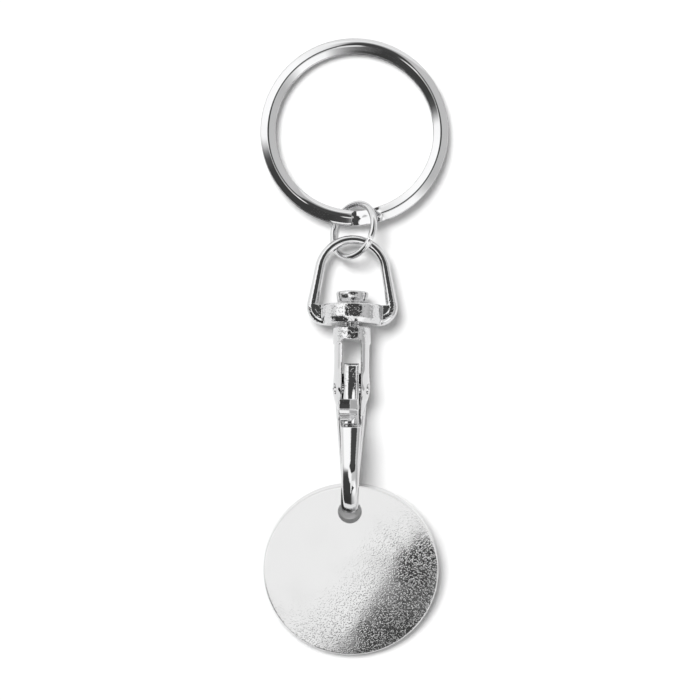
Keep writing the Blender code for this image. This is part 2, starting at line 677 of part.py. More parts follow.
def make_spring(material, swivel):
    """A torsion spring on the pin: one leg lies on the gate's back, the other on the web."""
    radius = SPRING_DIAMETER / 2
    steps = round(SPRING_TURNS * SPRING_STEPS_A_TURN)
    width = SPRING_TURNS * SPRING_PITCH
    web = PIN_DEPTH + WEB_DEPTH - FIT_GAP
    points = [Vector((-width / 2, -SPRING_LEG, radius))]
    for i in range(steps + 1):
        angle = math.tau * SPRING_TURNS * i / steps
        along, depth = radius * math.sin(angle), radius * math.cos(angle)
        points.append(Vector((-width / 2 + width * i / steps, along, depth)))
    points.append(Vector((width / 2, radius, -web)))
    path = []
    for i, point in enumerate(points):
        before, after = points[max(i - 1, 0)], points[min(i + 1, len(points) - 1)]
        run = (after - before).normalized()
        square = Vector((1, 0, 0))
        square = (square - run * square.dot(run)).normalized()
        path.append((point, square, run.cross(square), SPRING_WIRE, SPRING_WIRE))
    place = Matrix.Translation((0, -PIN_DROP, PIN_DEPTH))
    solid("gate_spring", loft(swept(path, round_section(SPRING_SIDES))), material, swivel, place)


def make_token(material):
    """The blank token, hung on the bend by its hole, with its far rim on the floor."""
    half = TOKEN_THICKNESS / 2
    upright = Matrix.Rotation(math.radians(90), 3, "X")
    profile = rounded_profile(TOKEN_DIAMETER / 2, -half, half, TOKEN_EDGE)
    points, faces = turned(profile, LARGE_ROUND_STEPS, upright)
    away = Vector((0, -token_hole_offset, 0))
    shape = [point + away for point in points], faces
    spot = Vector((-SWIVEL_ASIDE, swivel_along, 0))
    turn = math.radians(SWIVEL_YAW_DEG)
    spot += Vector((-math.sin(turn) * token_along, math.cos(turn) * token_along, token_height))
    place = Matrix.Translation(spot) @ Matrix.Rotation(math.radians(TOKEN_TURN_DEG), 4, "Z")
    place = place @ Matrix.Rotation(token_tilt, 4, "X")
    token = solid("coin_token", shape, material, None, place)
    hole = TOKEN_HOLE_DIAMETER / 2
    flare = hole + TOKEN_HOLE_EDGE
    edge = half - TOKEN_HOLE_EDGE
    profile = ((flare, -half - OVERRUN), (flare, -half), (hole, -edge))
    profile += ((hole, edge), (flare, half), (flare, half + OVERRUN))
    cut = turned(profile, ROUND_STEPS, upright)
    combine(token, helper("token hole", cut, None, place), "DIFFERENCE")
    even_shading(token)


def build():
    """Clears the scene and makes every piece."""
    for old in list(bpy.data.objects):
        bpy.data.objects.remove(old)
    chrome = metal("polished chrome", (0.78, 0.78, 0.79), 0.08)
    cast = metal("cast chrome", (0.74, 0.74, 0.75), 0.12)
    steel = metal("spring steel", (0.5, 0.5, 0.52), 0.3)
    blank = metal("grained token", (0.72, 0.72, 0.72), 0.28)
    lean = Matrix.Rotation(math.radians(SWIVEL_YAW_DEG), 4, "Z")
    lean = lean @ Matrix.Rotation(-swivel_tilt, 4, "X")
    lies = Matrix.Translation((-SWIVEL_ASIDE, swivel_along, swivel_height)) @ lean
    swivel = empty("swivel axis", lies)
    crest = lies @ Vector((0, BOW_HEIGHT, 0))
    make_split_ring(chrome, crest)
    make_link(chrome, crest)
    make_bow(cast, swivel)
    make_rivet(cast, swivel)
    make_hook(cast, swivel)
    make_gate(cast, swivel)
    make_pin(chrome, swivel)
    make_spring(steel, swivel)
    make_token(blank)


build()
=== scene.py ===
"""Looks of the coin holder keyring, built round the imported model: finer chrome pieces, a grained blank token,
floor, light and camera. Lengths are in millimetres until a mesh is made."""

import math

import bmesh
import bpy
from mathutils import Matrix, Vector, noise


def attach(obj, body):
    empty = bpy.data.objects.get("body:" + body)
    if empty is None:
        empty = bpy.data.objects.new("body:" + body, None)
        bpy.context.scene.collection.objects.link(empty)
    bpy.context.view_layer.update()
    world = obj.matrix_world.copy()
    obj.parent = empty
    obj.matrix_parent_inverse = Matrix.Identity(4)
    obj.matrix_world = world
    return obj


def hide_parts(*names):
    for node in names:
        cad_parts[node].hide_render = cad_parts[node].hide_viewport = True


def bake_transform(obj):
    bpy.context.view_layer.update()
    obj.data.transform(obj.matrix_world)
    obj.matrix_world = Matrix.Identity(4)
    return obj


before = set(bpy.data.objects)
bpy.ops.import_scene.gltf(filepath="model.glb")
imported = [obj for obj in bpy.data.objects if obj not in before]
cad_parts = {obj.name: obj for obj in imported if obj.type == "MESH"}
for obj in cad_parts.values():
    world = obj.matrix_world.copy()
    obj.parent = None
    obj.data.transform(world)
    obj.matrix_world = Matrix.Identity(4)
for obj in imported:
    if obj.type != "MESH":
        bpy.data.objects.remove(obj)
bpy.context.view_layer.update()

MM = 0.001

# The photograph's frame: how wide it is at the object, and the point in its middle
PICTURE_WIDTH = 93.03
PICTURE_MIDDLE = Vector((-0.6, -0.45, 2.6))
LENS = 200.0
SENSOR = 36.0

# Where the CAD has its pieces
PIN_DROP = 8.6
PIN_DEPTH = 1.2
SWIVEL = Matrix.Translation((-0.33, 2.8985, 4.2612)) @ Matrix.Rotation(math.radians(-0.7), 4, "Z")
SWIVEL = SWIVEL @ Matrix.Rotation(math.radians(-5.0), 4, "X")
PIN = SWIVEL @ Matrix.Translation((0, -PIN_DROP, PIN_DEPTH))
CREST = Vector((-0.19247, 14.15462, 3.27633))
RING = Matrix.Translation((0, 17.07962, 2.57633)) @ Matrix.Rotation(-0.071641, 4, "X")
TOKEN = Matrix.Translation((-0.62925, -21.59452, 5.15288)) @ Matrix.Rotation(math.radians(1.1), 4, "Z")
TOKEN = TOKEN @ Matrix.Rotation(0.216313, 4, "X")
ALONG_X = Matrix.Rotation(math.radians(-90), 3, "Z")
UPRIGHT = Matrix.Rotation(math.radians(90), 3, "X")

# Split ring: its wire is one unit to each side of its middle
RING_RADIUS = 11.5
RING_PITCH = 0.96
RING_RAMP = 3.9
RING_RAMP_DEG = 269.0
RING_END_GAP = 0.2
RING_STEPS = 600
RING_SHARES = (
    -0.99, -0.94, -0.8, -0.6, -0.4, -0.22, -0.15, -0.1, -0.05, 0.0,
    0.05, 0.1, 0.15, 0.22, 0.35, 0.55, 0.7, 0.82, 0.94, 0.99,
)
RING_SIDE = 0.03
RIDGE_TOP = 0.4795
RIDGE_SLOPE = 0.43
RIDGE_ROUND = 0.15
SOFT_TOP = 0.458
SOFT_FALL = 0.4
FLAT_TOP = 0.3
FLAT_SLOPE = 0.06
FLAT_LEAD = 0.1
FLAT_STEEPNESS = (8, 5)
EDGE_START = 0.9
EDGE_ROUND = 5.5
RING_END_SHARE = 0.94
# Where the ridge is rounded: the middle in degrees, how far it reaches and how full it is
SOFT_OUTSIDE = (72, 32, 1.25)
SOFT_INSIDE = (250, 22, 1.3)
# The dents at the crossover
DENT_PLACE = Vector((1.6, 0.1, 0.5))
DENT_REACH = 1.6
DENT_FULL = 1.6
DENT_SIZE = 0.7
DENT_DEPTH = 0.05
DENT_SEED = 3

# Link
LINK_RADIUS = 3.675
LINK_WIRE = 0.9
LINK_CUT = 0.1
LINK_CUT_DEG = -20
LINK_OFFSET = Vector((0.05, 1.287, 0.07))
LINK_LEANS_DEG = (-45, -15.5)
LINK_END_SHARE = 0.9
LINK_STEPS = 120

# Bow and its boss
BOW_HEIGHT = 11.3
BOW_CREST_RADIUS = 4.4
BOW_FOOT_RADIUS = 1.75
BOW_SPREAD = 3.5
BOW_RISE = 0.7
BOW_FOOT_END = 2.7
BOW_WIRE = 1.25
BOW_WIRE_GROWTH = 0.44
BOW_SQUARENESS = 2.2
BOW_FOOT_STEPS = 16
BOW_SIDE_STEPS = 8
BOW_CREST_STEPS = 24
BOSS_PROFILE = (
    (3.62, 0.0), (3.72, 0.05), (3.98, 0.54), (4.03, 0.66),
    (4.05, 0.8), (4.05, 2.4), (3.99, 2.54), (3.85, 2.6),
)
BOSS_RADIUS = 4.05
BOSS_HEIGHT = 2.6
BOSS_BORE = 1.25
WEB_REACH = 5.25
WEB_FOOT = 4.345
WEB_HALF = 0.725
RIVET_PROFILE = (
    (1.0, -1.58), (1.0, 2.93), (1.9, 2.93), (1.97, 3.0), (2.14, 4.12), (2.12, 4.22),
    (2.04, 4.32), (1.9, 4.37), (1.6, 4.39), (1.2, 4.4), (0.5, 4.41),
)

# Hook
SWIVEL_PLAY = 0.33
COLLAR_RADIUS = 2.525
COLLAR_HEIGHT = 2.35
COLLAR_EDGE = 0.2
STUD_BORE = 1.1
STUD_BORE_DEPTH = 1.68
CHEEK_HALF = 2.35
CHEEK_BACK = 3.6
CHEEK_FOOT_DROP = 12.9
CHEEK_FOOT_HALF = 1.396
CHEEK_SQUARENESS = 2.6
BOSS_HALF = 2.5
BOSS_FRONT = 2.9
BOSS_START_DROP = 6.1
SLOT_WIDTH = 2.4
SLOT_TOP = 2.15
SLOT_LOW = 13.85
SLOT_REACH = 5.05
SLOT_EDGE = 0.36
SLOT_EDGE_DEGS = (14, 28, 42, 56, 70)
SLOT_FRONT_SHARE = 0.93
SLOT_FRONT_DEPTH = 1.2
SLOT_FLARE_RISE = 0.6
WEB_TOP = 6.3
WEB_DEPTH = 1.7
PIN_BORE = 0.7
PIN_REACH = 4.9
SPINE_TOP_DROP = 9.0
SPINE_TOP_DEPTH = 2.5
SPINE_WIDTH = 4.4
SPINE_THICKNESS = 1.9
SPINE_BULGE = 0.4
BEND_DROP = 20.5
BEND_RADIUS = 3.75
BEND_FRONT_REACH = 5.1
BEND_WIDTH = 2.4
BEND_THICKNESS = 1.5
NOSE_TOP_DROP = 13.6
NOSE_TOP_DEPTH = 3.3
NOSE_WIDTH = 2.9
NOSE_THICKNESS = 1.4
NOSE_ROLL_DEG = 8
HOOK_SHARES = (
    (0.09, 0.5), (0.17, 0.465), (0.25, 0.425), (0.32, 0.38), (0.39, 0.3), (0.44, 0.2),
    (0.5, -0.06), (0.42, -0.32), (0.22, -0.47), (-0.22, -0.47), (-0.42, -0.32), (-0.5, -0.06),
    (-0.44, 0.2), (-0.39, 0.3), (-0.32, 0.38), (-0.22, 0.428), (-0.12, 0.462), (-0.02, 0.485),
)

# Gate from the pin's middle, as (across, lift) pairs over its width, and (along, depth) pairs of its front
GATE_ACROSS = (
    (-1.0, -0.45), (-0.97, -0.37), (-0.93, -0.31), (-0.87, -0.25), (-0.8, -0.2), (-0.7, -0.14),
    (-0.6, -0.085), (-0.5, -0.035), (-0.44, -0.015), (-0.35, 0.0), (-0.1, 0.0), (0.1, 0.0),
    (0.3, 0.0), (0.5, 0.0), (0.57, -0.01), (0.61, -0.06), (0.65, -0.06), (0.69, -0.01),
    (0.75, 0.0), (0.83, -0.01), (0.87, -0.06), (0.91, -0.07), (0.96, -0.14), (1.0, -0.3),
)
GATE_FRONT = (
    (-4.8, 2.45), (-4.0, 2.235), (-3.0, 1.98), (-2.0, 1.77),
    (-1.0, 1.64), (0.0, 1.585), (1.0, 1.54), (2.0, 1.44),
)
GATE_TAIL_MIDDLE = (2.7, 0.7)
GATE_TAIL_RADIUS = 0.6
GATE_BARREL = 1.6
GATE_TONGUE = -5.7
GATE_TONGUE_FRONT = 1.2
GATE_TONGUE_THICKNESS = 0.6
GATE_TONGUE_EDGE = 0.3
RIB_START = 0.1
RIB_WIDTH = 0.45
RIB_SLOPE = 0.32
RIB_TOP = 1.6
RIB_RUN = 3
POCKET_RADIUS = 1.2
POCKET_END = -2.36
POCKET_DEPTH = -3.2
POCKET_WIDTH = 1.16

# Thumb knob, as shares: (along, rise) pairs down its length and (across, root, lift) over its width
KNOB_SIDE_SHARES = (
    (0.0, 0.6), (0.015, 0.82), (0.1, 0.82), (0.25, 0.8), (0.45, 0.8), (0.47, 0.84), (0.485, 0.97),
    (0.495, 1.0), (0.655, 0.945), (0.67, 0.92), (0.685, 0.84), (0.7, 0.82), (0.745, 0.82), (0.765, 0.88),
    (0.8, 0.87), (0.815, 0.82), (0.83, 0.76), (0.87, 0.76), (0.89, 0.72), (0.95, 0.68), (1.0, 0.5),
)
KNOB_ACROSS_SHARES = (
    (-1.0, 0.46, 0.88), (-0.93, 0.4, 0.98), (-0.84, 0.37, 1.0), (-0.61, 0.37, 1.0),
    (-0.52, 0.0, 1.0), (-0.12, 0.0, 1.0), (-0.03, 0.0, 0.96), (0.49, 0.0, 0.5),
)
KNOB_HALF = 1.72
KNOB_TOP = -1.55
KNOB_LENGTH = 2.95
KNOB_ROOT = 1.2
KNOB_RISE = 1.9

# Token, as (radius, along) pairs, and its hole
TOKEN_PROFILE = ((11.3, -0.99), (11.47, -0.97), (11.6, -0.8), (11.6, 0.8), (11.47, 0.97), (11.3, 0.99))
TOKEN_HANG = 8.1
HOLE_PROFILE = ((1.59, -3.0), (1.59, -1.0), (1.55, -0.96), (1.55, 0.96), (1.59, 1.0), (1.59, 3.0))
TOKEN_STEPS = 256

# Spring
SPRING_WIRE = 0.25
SPRING_RADIUS = 0.9
SPRING_PITCH = 0.32
SPRING_TURNS = 2.25
SPRING_LEG = 2.2
SPRING_WEB = 2.8
SPRING_STEPS = (16, 90, 12)

# The castings' skin, as the size of its mesh and how often it is softened, and the steps of round shapes
CASTING_SKIN = (0.07, 6)
GATE_SKIN = (0.045, 2)
SKIN_SOFTNESS = 0.5
ROUND_STEPS = 96
SMALL_ROUND_STEPS = 48
OVERRUN = 2.0

# Metal: the middle part of a noise, how far the roughness wanders, and where a noise rises into specks
NOISE_MIDDLE = (0.3, 0.7)
SHINE_SHARES = (0.6, 1.6)
SPECK_RISE = (0.5, 0.72)

# What the metal sees well away from overhead, as (azimuth in degrees, level)
STUDIO = (
    (-180, 0.3), (-176, 0.12), (-168, 0.07), (-110, 0.06), (-98, 0.09), (-90, 0.16),
    (-80, 0.42), (-72, 0.7), (-62, 1.35), (-38, 1.4), (-27, 0.85), (-18, 0.66),
    (0, 0.7), (30, 0.72), (52, 0.74), (68, 0.62), (88, 0.5), (100, 0.8),
    (113, 1.25), (124, 1.4), (160, 1.4), (171, 1.35), (177, 0.6), (180, 0.3),
)
STUDIO_TOP = 2.0
# Its level overhead, from left to right, and up to how many degrees from straight above
OVERHEAD = (1.35, 0.75)
OVERHEAD_TURN = (-0.1, 0.3)
OVERHEAD_DEG = (30.5, 34.5)
# The pale wall behind, and how much darker the studio is near the floor
BACK_LEVEL = 1.35
BACK_DEG = (53, 61)
LOW_SHARE = 0.78
LOW_DEG = (58, 68)
# Dark patches overhead, as (middle in degrees, reach in degrees, soft edge, level)
PATCHES = (((5, 11.3), (33, 15.5), (1.15, 0.85), 0.05), ((4, 26), (24, 23), (1.7, 0.6), 0.08))
AMBIENT = 0.32

# Floor, cards over the token, and the lamp
FLOOR_HALF = 3000.0
FLOOR_DROP = 0.02
FLOOR_COLOUR = (0.97, 0.97, 0.97, 1.0)
DARK_CARD = ((-6.4, -98), (17.8, -54.7), (36, -68.6), (10, -112))
DARK_CARD_HEIGHT = 74
DARK_CARD_LEVEL = 0.045
PALE_CARD = ((-24, -98), (-24, -42), (30, -42), (30, -98))
PALE_CARD_HEIGHT = 77
PALE_CARD_LEVEL = 1.2
LAMP_WAY = (86, -118, -430)
LAMP_SPREAD_DEG = 22
LAMP_POWER = 2.55


def loft(rings):
    """Faces between rings of points, with a cap on each end."""
    count = len(rings[0])
    points = [point for ring in rings for point in ring]
    faces = []
    for i in range(len(rings) - 1):
        here, there = i * count, (i + 1) * count
        for j in range(count):
            k = (j + 1) % count
            faces.append((here + j, here + k, there + k, there + j))
    faces.append(tuple(reversed(range(count))))
    faces.append(tuple(range(len(points) - count, len(points))))
    return points, faces


def turned(profile, steps=ROUND_STEPS, turn=Matrix.Identity(3)):
    """A solid turned about Y from (radius, along) pairs, then turned by a matrix."""
    rings = []
    for radius, along in profile:
        angles = [math.tau * i / steps for i in range(steps)]
        rings.append([turn @ Vector((radius * math.cos(a), along, radius * math.sin(a))) for a in angles])
    return loft(rings)


def extruded(outline, width):
    """An outline of (along, depth) pairs, given a width along X."""
    return loft([[Vector((x, y, z)) for y, z in outline] for x in (-width / 2, width / 2)])


def swept(path, section):
    """A section of shares swept along (middle, across, outwards, width, thickness) places."""
    rings = []
    for middle, across, outwards, width, thickness in path:
        rings.append([middle + across * u * width + outwards * v * thickness for u, v in section])
    return rings


def squarer(share, squareness):
    """A cosine or sine, changed so that a circle of them becomes a squarer form."""
    return math.copysign(abs(share) ** (2 / squareness), share)


def round_section(sides, squareness=2.0):
    """A section of diameter one, a circle or a squarer form."""
    angles = [math.tau * (i + 0.5) / sides for i in range(sides)]
    return [(squarer(math.cos(a), squareness) / 2, squarer(math.sin(a), squareness) / 2) for a in angles]


def arc(middle, radius, start, end, steps):
    """Points of an arc from start to end, in degrees, as (first, second) pairs."""
    points = []
    for i in range(steps + 1):
        a = math.radians(start + (end - start) * i / steps)
        points.append((middle[0] + radius * math.cos(a), middle[1] + radius * math.sin(a)))
    return points


def rounded_profile(radius, low, high, edge, steps=5):
    """The (radius, along) pairs of a disc with rounded rims."""
    profile = arc((radius - edge, low + edge), edge, -90, 0, steps)
    return profile + arc((radius - edge, high - edge), edge, 0, 90, steps)


def smooth_share(share):
    """A share that starts and ends its climb from nought to one softly."""
    share = min(max(share, 0.0), 1.0)
    return share * share * (3 - 2 * share)


def end_share(i, steps, least):
    """How much of its full size a wire has, which narrows over the last two steps to each end."""
    return least + (1 - least) * min(i, steps - i, 2) / 2


def mesh_object(name, shape, place=None, smooth_angle=30.0):
    """An object from points and faces in millimetres, placed by a matrix in millimetres."""
    points, faces = shape
    place = place or Matrix.Identity(4)
    mesh = bpy.data.meshes.new(name)
    mesh.from_pydata([(place @ Vector(point)) * MM for point in points], [], faces)
    work = bmesh.new()
    work.from_mesh(mesh)
    bmesh.ops.recalc_face_normals(work, faces=work.faces)
    work.to_mesh(mesh)
    work.free()
    mesh.shade_smooth()
    mesh.set_sharp_from_angle(angle=math.radians(smooth_angle))
    made = bpy.data.objects.new(name, mesh)
    bpy.context.scene.collection.objects.link(made)
    return made


def apply_modifiers(made):
    """Replaces an object's mesh by what its modifiers make of it."""
    bpy.context.view_layer.update()
    graph = bpy.context.evaluated_depsgraph_get()
    mesh = bpy.data.meshes.new_from_object(made.evaluated_get(graph))
    made.modifiers.clear()
    made.data = mesh


def combine(made, shape, place, operation):
    """A Boolean with one more shape, which is then dropped."""
    other = mesh_object("other", shape, place)
    modifier = made.modifiers.new("combine", "BOOLEAN")
    modifier.operation = operation
    modifier.solver = "EXACT"
    modifier.object = other
    apply_modifiers(made)
    bpy.data.objects.remove(other)


def cast_skin(made, voxel, rounds):
    """Blends the joined shapes into one cast skin, with soft edges."""
    remesh = made.modifiers.new("skin", "REMESH")
    remesh.mode = "VOXEL"
    remesh.voxel_size = voxel * MM
    remesh.use_smooth_shade = True
    soften = made.modifiers.new("soften", "SMOOTH")
    soften.factor = SKIN_SOFTNESS
    soften.iterations = rounds
    apply_modifiers(made)
    made.data.shade_smooth()


def dent(made, size, depth, seed, where):
    """Moves the points of a piece in and out a little, as much as a function of the place says."""
    offset = Vector((seed * 7.3, seed * 3.1, seed * 5.7))
    normals = [vertex.normal.copy() for vertex in made.data.vertices]
    for vertex, normal in zip(made.data.vertices, normals):
        place = vertex.co / MM
        share = where(place)
        if share > 0:
            vertex.co += normal * noise.noise(place / size + offset) * depth * share * MM
    made.data.update()


def paint(made, material):
    """Gives an object one material."""
    made.data.materials.clear()
    made.data.materials.append(material)


def place_piece(made, node, body, material):
    """Gives a piece its material and its body, and puts it in the place of a CAD node."""
    paint(made, material)
    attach(made, body)
    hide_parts(node)


class Nodes:
    """Short calls for making a node tree."""

    def __init__(self, tree):
        self.tree = tree
        self.tree.nodes.clear()

    def add(self, kind, inputs=None, **settings):
        node = self.tree.nodes.new(kind)
        for name, value in settings.items():
            setattr(node, name, value)
        for name, value in (inputs or {}).items():
            if isinstance(value, bpy.types.NodeSocket):
                self.tree.links.new(value, node.inputs[name])
            else:
                node.inputs[name].default_value = value
        return node

    def math(self, operation, first, second=0.0):
        return self.add("ShaderNodeMath", {0: first, 1: second}, operation=operation).outputs[0]

    def range(self, value, low, high, to_low=0.0, to_high=1.0):
        inputs = {"Value": value, "From Min": low, "From Max": high, "To Min": to_low, "To Max": to_high}
        return self.add("ShaderNodeMapRange", inputs, interpolation_type="SMOOTHSTEP").outputs[0]

    def mix(self, share, first, second):
        inputs = {"Factor": share, "A": first, "B": second}
        return self.add("ShaderNodeMix", inputs, data_type="FLOAT").outputs[0]

    def noise(self, size, detail=2.0, roughness=0.5):
        """Noise whose lumps are about this many millimetres apart."""
        place = self.add("ShaderNodeTexCoord").outputs["Object"]
        inputs = {"Vector": place, "Scale": 1 / (size * MM), "Detail": detail, "Roughness": roughness}
        return self.add("ShaderNodeTexNoise", inputs).outputs["Fac"]

    def bump(self, height, depth, normal=None):
        inputs = {"Height": height, "Distance": depth * MM, "Strength": 1.0}
        if normal:
            inputs["Normal"] = normal
        return self.add("ShaderNodeBump", inputs).outputs[0]


def new_nodes(owner):
    """An empty node tree for a material or a world."""
    owner.use_nodes = True
    return Nodes(owner.node_tree)


def chrome(name, colour, roughness, wave, grain, specks=None, rough=(-1.0, -0.5), least=0.0):
    """Plated metal: roughness that wanders, a slow unevenness and a fine grain, each as (size, depth), and
    small raised specks as (size, depth). Rough says at which share of the piece's length the specks start and
    at which they are full. With a least depth, both shares go from its upper left to its lower right."""
    material = bpy.data.materials.new(name)
    nodes = new_nodes(material)
    slow = nodes.noise(wave[0], 2.0)
    fine = nodes.noise(grain[0], 3.0, 0.6)
    shine = nodes.range(slow, *NOISE_MIDDLE, *(roughness * share for share in SHINE_SHARES))
    normal = nodes.bump(fine, grain[1], nodes.bump(slow, wave[1]))
    if specks:
        raised = nodes.range(nodes.noise(specks[0], 1.0), *SPECK_RISE)
        place = nodes.add("ShaderNodeTexCoord").outputs["Generated"]
        right, along, _ = nodes.add("ShaderNodeSeparateXYZ", {0: place}).outputs
        if least:
            along = nodes.math("SUBTRACT", right, along)
        raised = nodes.math("MULTIPLY", raised, nodes.range(along, *rough, least, 1.0))
        normal = nodes.bump(raised, specks[1], normal)
    shader = nodes.add("ShaderNodeBsdfPrincipled", {
        "Base Color": (*colour, 1.0), "Metallic": 1.0, "Roughness": shine, "Normal": normal})
    nodes.add("ShaderNodeOutputMaterial", {"Surface": shader.outputs[0]})
    return material


CAST_COLOUR = (0.68, 0.68, 0.685)
polished = chrome("polished_chrome", (0.69, 0.69, 0.695), 0.05, wave=(3, 0.004), grain=(0.4, 0.0004))
cast = chrome("cast_chrome", CAST_COLOUR, 0.06, wave=(1.4, 0.004), grain=(0.25, 0.0012), specks=(0.26, 0.009))
bow_chrome = chrome(
    "bow_chrome", CAST_COLOUR, 0.05, wave=(1.8, 0.008), grain=(0.4, 0.0006), specks=(0.28, 0.014),
    rough=(0.34, 0.28),
)
hook_chrome = chrome(
    "hook_chrome", CAST_COLOUR, 0.05, wave=(1.8, 0.014), grain=(0.4, 0.0006), specks=(0.28, 0.018),
    rough=(0.89, 0.92),
)
gate_chrome = chrome(
    "gate_chrome", CAST_COLOUR, 0.05, wave=(1.4, 0.008), grain=(0.3, 0.0008), specks=(0.26, 0.015),
    rough=(0.6, 0.75),
)
blank = chrome(
    "grained_blank", (0.69, 0.69, 0.69), 0.1, wave=(6, 0.001), grain=(0.12, 0.0009), specks=(0.21, 0.0075),
    rough=(-0.4, 0.35), least=0.12,
)
steel = chrome("spring_steel", (0.5, 0.5, 0.52), 0.25, wave=(1, 0.002), grain=(0.2, 0.001))


def ring_height(across, soft_out, soft_in, flatness):
    """How high the ring wire's top stands at a place across it: a ridge between two slopes, of which either
    may be rounded instead, or pressed flat."""
    share = abs(across)
    fall = share if share > RIDGE_ROUND else across * across / (2 * RIDGE_ROUND) + RIDGE_ROUND / 2
    high = RIDGE_TOP - RIDGE_SLOPE * fall
    softness, other = (soft_out, soft_in) if across > 0 else (soft_in, soft_out)
    high += (SOFT_TOP - SOFT_FALL * across * across - high) * softness
    high += (SOFT_TOP - RIDGE_SLOPE * share - high) * other
    high += (FLAT_TOP + FLAT_SLOPE * across - high) * flatness
    return high - EDGE_ROUND * max(share - EDGE_START, 0.0) ** 2


def ring_section(degrees, climbed):
    """The wire's outline at a place round the ring, and at a share of its climb to the upper turn."""
    soft_out, soft_in = (
        smooth_share(full - abs(degrees % 360 - middle) / reach)
        for middle, reach, full in (SOFT_OUTSIDE, SOFT_INSIDE)
    )
    start, end = FLAT_STEEPNESS
    flatness = smooth_share((climbed + FLAT_LEAD) * start) * smooth_share((1.0 - climbed) * end)
    section = [(u, ring_height(u, soft_out, soft_in, flatness)) for u in RING_SHARES]
    section += [(1.0, RING_SIDE), (1.0, -RING_SIDE)]
    section += [(u, -ring_height(u, 0, 0, 0)) for u in reversed(RING_SHARES[::2])]
    return section + [(-1.0, -RING_SIDE), (-1.0, RING_SIDE)]


def split_ring():
    """One flattened wire in two turns, with a soft ridge above and below and a dented crossover."""
    ramp, gap = math.degrees(RING_RAMP / RING_RADIUS), math.degrees(RING_END_GAP / RING_RADIUS)
    first, last = RING_RAMP_DEG - 360 + ramp + gap, RING_RAMP_DEG + 360 - gap
    rings = []
    for i in range(RING_STEPS + 1):
        degrees = first + (last - first) * i / RING_STEPS
        climbed = (degrees - RING_RAMP_DEG) / ramp
        a = math.radians(degrees)
        out = Vector((math.cos(a), math.sin(a), 0))
        middle = Vector((0, RING_RADIUS, (smooth_share(climbed) - 0.5) * RING_PITCH)) + out * RING_RADIUS
        size = end_share(i, RING_STEPS, RING_END_SHARE)
        section = ring_section(degrees, climbed)
        rings.append([middle + (out * u + Vector((0, 0, v))) * size for u, v in section])
    made = mesh_object("split_ring_wire", loft(rings), RING, smooth_angle=12)
    crossover = RING @ DENT_PLACE
    dent(made, DENT_SIZE, DENT_DEPTH, DENT_SEED,
         lambda place: smooth_share(DENT_FULL - (place - crossover).length / DENT_REACH))
    place_piece(made, "split_ring", "ring", polished)


def link_ring():
    """A round wire link with its cut."""
    cut = math.degrees(LINK_CUT / LINK_RADIUS)
    first, second = (math.radians(angle) for angle in LINK_LEANS_DEG)
    lean = Matrix.Rotation(first, 3, "Y") @ Matrix.Rotation(second, 3, "X")
    middle = CREST + LINK_OFFSET
    path = []
    for i in range(LINK_STEPS + 1):
        a = math.radians(LINK_CUT_DEG + cut / 2 + (360 - cut) * i / LINK_STEPS)
        out = lean @ Vector((math.cos(a), math.sin(a), 0))
        size = LINK_WIRE * end_share(i, LINK_STEPS, LINK_END_SHARE)
        path.append((middle + out * LINK_RADIUS, out, lean @ Vector((0, 0, 1)), size, size))
    made = mesh_object("link_wire", loft(swept(path, round_section(24))), smooth_angle=40)
    place_piece(made, "link_ring", "link", polished)


def bow_outline():
    """The middle of the bow's wire, from one foot over the crest to the other, as (across, along) pairs."""
    foot, crest = (-BOW_SPREAD, BOW_RISE + BOW_FOOT_RADIUS), (0, BOW_HEIGHT - BOW_CREST_RADIUS)
    across, along = crest[0] - foot[0], crest[1] - foot[1]
    taper = math.asin((BOW_CREST_RADIUS - BOW_FOOT_RADIUS) / math.hypot(across, along))
    lean = math.atan2(across, along) - taper
    side = 180 - math.degrees(lean)
    left = [(-BOW_FOOT_END, BOW_RISE)] + arc(foot, BOW_FOOT_RADIUS, 270, side, BOW_FOOT_STEPS)
    top = arc(crest, BOW_CREST_RADIUS, side, 90, BOW_CREST_STEPS)
    end, start = left[-1], top[0]
    for i in range(1, BOW_SIDE_STEPS):
        left.append(tuple(one + (other - one) * i / BOW_SIDE_STEPS for one, other in zip(end, start)))
    left += top
    return left + [(-x, y) for x, y in reversed(left[:-1])]


def swivel_bow():
    """The cast loop with the boss, and a web in each of its lower corners."""
    outline = bow_outline()
    path = []
    for i, (x, y) in enumerate(outline):
        before, after = outline[max(i - 1, 0)], outline[min(i + 1, len(outline) - 1)]
        run = Vector((after[0] - before[0], after[1] - before[1], 0)).normalized()
        wire = BOW_WIRE + BOW_WIRE_GROWTH * ((BOW_HEIGHT - y) / (BOW_HEIGHT - BOW_RISE)) ** 2
        path.append((Vector((x, y, 0)), Vector((-run.y, run.x, 0)), Vector((0, 0, 1)), wire, wire))
    made = mesh_object("bow_casting", loft(swept(path, round_section(48, BOW_SQUARENESS))), SWIVEL)
    combine(made, turned(BOSS_PROFILE), SWIVEL, "UNION")
    corners = [(x, BOSS_HEIGHT) for x in (-WEB_REACH, -BOSS_RADIUS, BOSS_RADIUS, WEB_REACH)]
    corners += [(WEB_FOOT, BOW_RISE), (-WEB_FOOT, BOW_RISE)]
    web = [[Vector((x, y, z)) for x, y in corners] for z in (-WEB_HALF, WEB_HALF)]
    combine(made, loft(web), SWIVEL, "UNION")
    bore = ((BOSS_BORE, -OVERRUN), (BOSS_BORE, BOSS_HEIGHT + OVERRUN))
    combine(made, turned(bore, SMALL_ROUND_STEPS), SWIVEL, "DIFFERENCE")
    cast_skin(made, *CASTING_SKIN)
    place_piece(made, "swivel_bow", "bow", bow_chrome)


def swivel_rivet():
    """The headed stud that the bow turns on, with its head riveted over."""
    made = mesh_object("rivet", turned(RIVET_PROFILE), SWIVEL, smooth_angle=40)
    place_piece(made, "swivel_rivet", "hook", cast)


